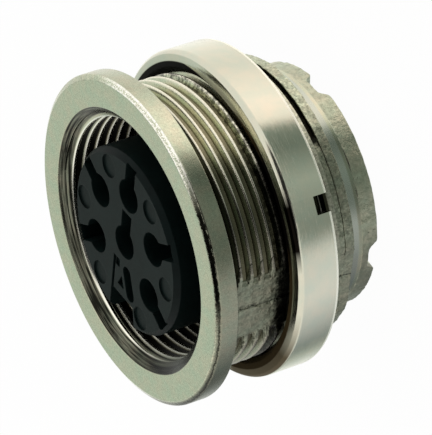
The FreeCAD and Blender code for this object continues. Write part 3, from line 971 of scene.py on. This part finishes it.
def turned_material():
    """Nickel over a turned nut, with fine lines round the axis and short streaks across them."""
    material, paint, shader = new_material("plated_nut", METALLIC, TURNED_ROUGHNESS, NICKEL)
    at = paint.surface()
    on = nut_regions(paint, at)
    folded = paint.calc("ABSOLUTE", at.turn)
    along = paint.vector(paint.times(at.height, LINE_SPACING), paint.times(at.radius, LINE_SPACING),
                         paint.times(folded, LINE_LENGTH))
    lines = paint.grain(along, *LINE_GRAIN)
    across = paint.vector(paint.times(at.height, STREAK_SPACING), paint.times(folded, STREAK_LENGTH))
    streaks = paint.grain(across, *STREAK_GRAIN)

    mottle = paint.ramp(paint.grain(at.point, *NICKEL_GRAIN), *MOTTLE_LEVELS)
    color = paint.mix(mottle, NICKEL, NICKEL_WARM)
    # Inside of the front face: painted brown reflection of the thread, and painted black shade
    color = paint.mix(on.inside, color, paint.mix(on.oily, NUT_BLACK, NUT_BROWN))
    color = paint.mix(on.shaded, color, NUT_BLACK)
    # Painted shade on the nut's lower front edge
    color = paint.mix(paint.times(on.resting, RESTING_SHARE), color, NUT_BROWN)
    # Painted highlight along the nut's rear edge
    color = paint.mix(on.rear_edge, color, POLISHED)
    paint.link(color, shader.inputs["Base Color"])

    roughness = paint.plus(paint.times(lines, LINE_ROUGHNESS), NUT_ROUGHNESS)
    rougher = ((on.inside, INSIDE_ROUGHNESS), (on.rear_edge, REAR_EDGE_ROUGHNESS),
               (on.resting, RESTING_ROUGHNESS), (on.front_face, WIPED_ROUGHNESS))
    for region, gain in rougher:
        roughness = paint.plus(roughness, paint.times(region, gain))
    paint.link(roughness, shader.inputs["Roughness"])
    ridges = paint.bump(lines, *LINE_RELIEF)
    paint.link(paint.bump(streaks, *STREAK_RELIEF, ridges), shader.inputs["Normal"])
    return material


PLASTIC_SHINE = 0.08
PLASTIC_LIGHTER = 1.6
PLASTIC_ROUGHNESS = 0.45
PLASTIC_ROUGHNESS_LEAST = 0.36
PLASTIC_ROUGHNESS_GAIN = 0.2


def moulded_material(name, color):
    """Black moulded plastic with a fine skin."""
    material, paint, shader = new_material(name, NOT_METALLIC, PLASTIC_ROUGHNESS, color)
    point = paint.surface().point
    skin = paint.grain(point, *MOULDED_GRAIN)
    cloud = paint.ramp(paint.grain(point, *CLOUD_GRAIN), *CLOUD_LEVELS)
    lighter = tuple(part * PLASTIC_LIGHTER for part in color)
    shader.inputs["Specular IOR Level"].default_value = PLASTIC_SHINE
    paint.link(paint.mix(cloud, color, lighter), shader.inputs["Base Color"])
    roughness = paint.plus(paint.times(skin, PLASTIC_ROUGHNESS_GAIN), PLASTIC_ROUGHNESS_LEAST)
    paint.link(roughness, shader.inputs["Roughness"])
    edge = paint.add("ShaderNodeBevel", samples=4, Radius=SLIM * MM).outputs[0]
    paint.link(paint.bump(skin, *MOULDED_RELIEF, edge), shader.inputs["Normal"])
    return material


METAL_DARKER = 0.75
METAL_ROUGHNESS_GAIN = 0.15
METAL_ROUGHNESS_LOSS = 0.07


def plain_metal(name, color, roughness):
    """Small metal parts inside: plated or bare, with a faint mottle."""
    material, paint, shader = new_material(name, METALLIC, roughness, color)
    point = paint.surface().point
    fine = paint.grain(point, *METAL_GRAIN)
    mottle = paint.ramp(paint.grain(point, *METAL_MOTTLE), *MOTTLE_LEVELS)
    darker = tuple(part * METAL_DARKER for part in color)
    paint.link(paint.mix(mottle, color, darker), shader.inputs["Base Color"])
    uneven = paint.plus(paint.times(fine, METAL_ROUGHNESS_GAIN), roughness - METAL_ROUGHNESS_LOSS)
    paint.link(uneven, shader.inputs["Roughness"])
    paint.link(paint.bump(fine, *METAL_RELIEF), shader.inputs["Normal"])
    return material


INSERT_BLACK = (0.0022, 0.0062, 0.0058)
HOLDER_BLACK = (0.003, 0.004, 0.004)
SPRING_STEEL = (0.42, 0.42, 0.41)
CONTACT_GOLD = (0.75, 0.55, 0.24)
SPRING_ROUGHNESS = 0.3
CONTACT_ROUGHNESS = 0.25

shell.data.materials.append(casting_material())
ring_nut.data.materials.append(turned_material())
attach(shell, "receptacle")
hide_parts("shell")
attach(ring_nut, "nut")
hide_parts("ring_nut")

contact_metal = plain_metal("contact_metal", CONTACT_GOLD, CONTACT_ROUGHNESS)
kept = {
    "insert": moulded_material("insert_plastic", INSERT_BLACK),
    "contact_holder": moulded_material("holder_plastic", HOLDER_BLACK),
    "retaining_ring": plain_metal("spring_steel", SPRING_STEEL, SPRING_ROUGHNESS),
}
for node_name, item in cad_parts.items():
    material = kept.get(node_name) or (contact_metal if node_name.startswith("contact_") else None)
    if material:
        item.data.materials.clear()
        item.data.materials.append(material)


# Floor

FLOOR_REACH = 3.0
FLOOR_DROP = 0.02
FLOOR_COLOR = (0.95, 0.95, 0.95)
FLOOR_ROUGHNESS = 0.9
FLOOR_GLOW = 0.97


def make_floor():
    """A pale floor that the camera sees as almost plain white."""
    height = cad_box[0][2] - FLOOR_DROP * MM
    corners = ((-1, -1), (1, -1), (1, 1), (-1, 1))
    mesh = bpy.data.meshes.new("floor")
    mesh.from_pydata([(x * FLOOR_REACH, y * FLOOR_REACH, height) for x, y in corners], [], [(0, 1, 2, 3)])
    material, paint, shader = new_material("floor", NOT_METALLIC, FLOOR_ROUGHNESS, FLOOR_COLOR)
    seen = paint.add("ShaderNodeLightPath").outputs
    direct = paint.either(seen["Is Camera Ray"], seen["Is Glossy Ray"], seen["Is Transmission Ray"])
    plain = paint.add("ShaderNodeEmission")
    paper = paint.add("ShaderNodeMixShader", i0=paint.times(direct, FLOOR_GLOW), i1=shader.outputs[0],
                      i2=plain.outputs[0])
    paint.link(paper.outputs[0], paint.nodes["Material Output"].inputs["Surface"])
    mesh.materials.append(material)
    ground = put_in_scene("floor", mesh)
    ground.visible_glossy = False
    return ground


floor = make_floor()


# Light

# What comes from below the horizon, as (turn, colour) round the axis, is what the metal's
# upright walls mirror: a bright side, a dark gap, a dim side and a pale side.
SIDES = (
    (-180, (0.40, 0.44, 0.40)),
    (-150, (0.95, 0.98, 0.92)),
    (-110, (1.20, 1.18, 1.12)),
    (-60, (1.10, 1.05, 1.00)),
    (-20, (1.50, 1.34, 1.26)),
    (-3, (1.35, 1.22, 1.14)),
    (2, (0.28, 0.32, 0.28)),
    (17, (0.19, 0.23, 0.20)),
    (42, (0.45, 0.50, 0.45)),
    (66, (0.30, 0.34, 0.31)),
    (80, (0.29, 0.33, 0.30)),
    (92, (0.85, 0.86, 0.86)),
    (125, (0.95, 0.95, 0.97)),
    (150, (0.62, 0.64, 0.66)),
    (172, (0.27, 0.30, 0.30)),
)
ABOVE = (1.08, 1.05, 1.02)

# Dim places overhead: direction, closeness to it at which it starts and is full, and colour
DIM_PLACES = (
    (Vector((-0.63, -0.63, 0.445)).normalized(), 0.75, 0.97, (0.65, 0.71, 0.66)),
    (Vector((0.68, 0.60, 0.42)).normalized(), 0.80, 0.88, (0.03, 0.03, 0.03)),
    (Vector((0.06, -0.27, 0.96)).normalized(), 0.93, 0.965, (0.02, 0.02, 0.02)),
)
SIDES_TOP = (-0.25, -0.06)


def side_light(paint, x, y):
    """The colour of the light from below the horizon, by its turn."""
    share = paint.ramp(paint.calc("ARCTAN2", x, y), -math.pi, math.pi)
    node = paint.add("ShaderNodeValToRGB", i0=share)
    stops = node.color_ramp.elements
    while len(stops) < len(SIDES) + 1:
        stops.new(0.5)
    for stop, (turn, color) in zip(stops, SIDES + ((180, SIDES[0][1]),)):
        stop.position = (turn + 180) / 360
        stop.color = (*color, 1)
    return node.outputs[0]


def make_world():
    world = bpy.data.worlds.new("studio")
    bpy.context.scene.world = world
    paint = Paint(world)
    direction = paint.add("ShaderNodeTexCoord").outputs["Generated"]
    x, y, z = paint.add("ShaderNodeSeparateXYZ", i0=direction).outputs
    above = ABOVE
    for aim, start, full, color in DIM_PLACES:
        near = paint.add("ShaderNodeVectorMath", operation="DOT_PRODUCT", i0=direction, i1=tuple(aim))
        above = paint.mix(paint.ramp(near.outputs["Value"], start, full), above, color)
    sky = paint.mix(paint.ramp(z, *SIDES_TOP), side_light(paint, x, y), above)
    paint.link(sky, paint.nodes["Background"].inputs["Color"])


make_world()


# Camera

CAMERA_PLACE = Vector((153.449, 153.678, 114.649)) * MM
CAMERA_RIGHT = Vector((0.51944, 0.07921, -0.85083))
CAMERA_UP = Vector((-0.57514, 0.76880, -0.27955))
CAMERA_BACK = Vector((0.63199, 0.63458, 0.44491))
FRAME_HEIGHT = 435
FOCAL_PIXELS = 4000
SENSOR = 36.0
NEAREST = 1
FARTHEST = 20


def make_camera():
    """A long lens that stands off the mouth's corner, as fitted to the photo."""
    lens = bpy.data.cameras.new("camera")
    lens.sensor_fit = "VERTICAL"
    lens.sensor_height = SENSOR
    lens.lens = SENSOR * FOCAL_PIXELS / FRAME_HEIGHT
    lens.clip_start = NEAREST * MM
    lens.clip_end = FARTHEST
    camera = put_in_scene("camera", lens)
    axes = Matrix((CAMERA_RIGHT, CAMERA_UP, CAMERA_BACK)).transposed().to_4x4()
    camera.matrix_world = Matrix.Translation(CAMERA_PLACE) @ axes
    bpy.context.scene.camera = camera


make_camera()
bpy.context.scene.view_settings.view_transform = "Standard"
